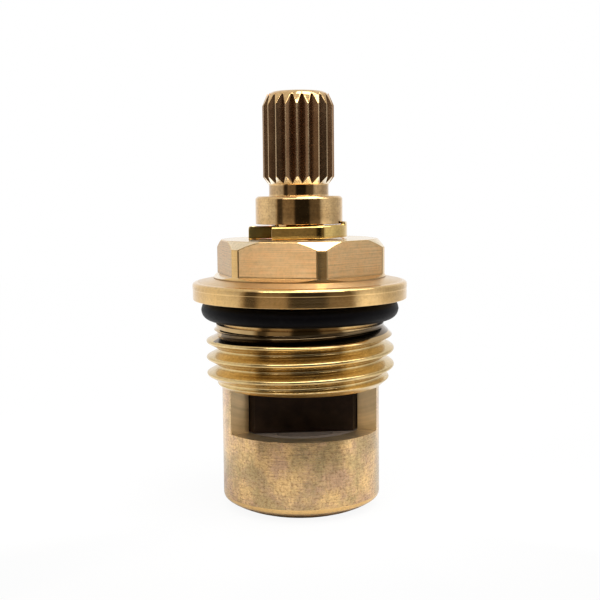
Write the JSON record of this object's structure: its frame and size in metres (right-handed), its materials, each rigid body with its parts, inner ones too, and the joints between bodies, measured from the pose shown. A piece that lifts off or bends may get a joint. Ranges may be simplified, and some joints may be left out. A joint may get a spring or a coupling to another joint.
{
  "type": "ceramic disc tap cartridge",
  "caption": "Brass quarter-turn tap cartridge with splined spindle, spanner hexagon, sealing flange, pipe thread and a windowed barrel that houses ceramic shut-off discs.",
  "frame": {"origin": "on the spindle's axis, at the bottom of the seat seal", "axes": "+Z along the axis towards the spline, +Y and -Y through the middle of the two barrel windows"},
  "size_m": [0.0238, 0.0238, 0.0459],
  "materials": {
    "brass": "turned, satin, with light stains on the barrel",
    "spindle_brass": "turned, with milled spline flanks",
    "bright_brass": "polished",
    "black_rubber": "satin",
    "seal_rubber": "matt",
    "dark_ceramic": "lapped",
    "grey_ceramic": "lapped",
    "acetal": "moulded"
  },
  "bodies": {
    "body": {"valve_body": "brass", "flange_oring": "black_rubber", "thrust_washer": "acetal", "fixed_disc": "grey_ceramic", "seat_seal": "seal_rubber", "seal_support_ring": "acetal"},
    "spindle_set": {"spindle": "spindle_brass", "retaining_clip": "bright_brass", "upper_spindle_oring": "black_rubber", "lower_spindle_oring": "black_rubber", "moving_disc": "dark_ceramic"}
  },
  "joints": [
    {"name": "spindle_turn", "type": "hinge", "parent": "body", "child": "spindle_set", "pos_m": [0, 0, 0.02], "axis": [0, 0, 1], "range_deg": [-90, 0]}
  ]
}
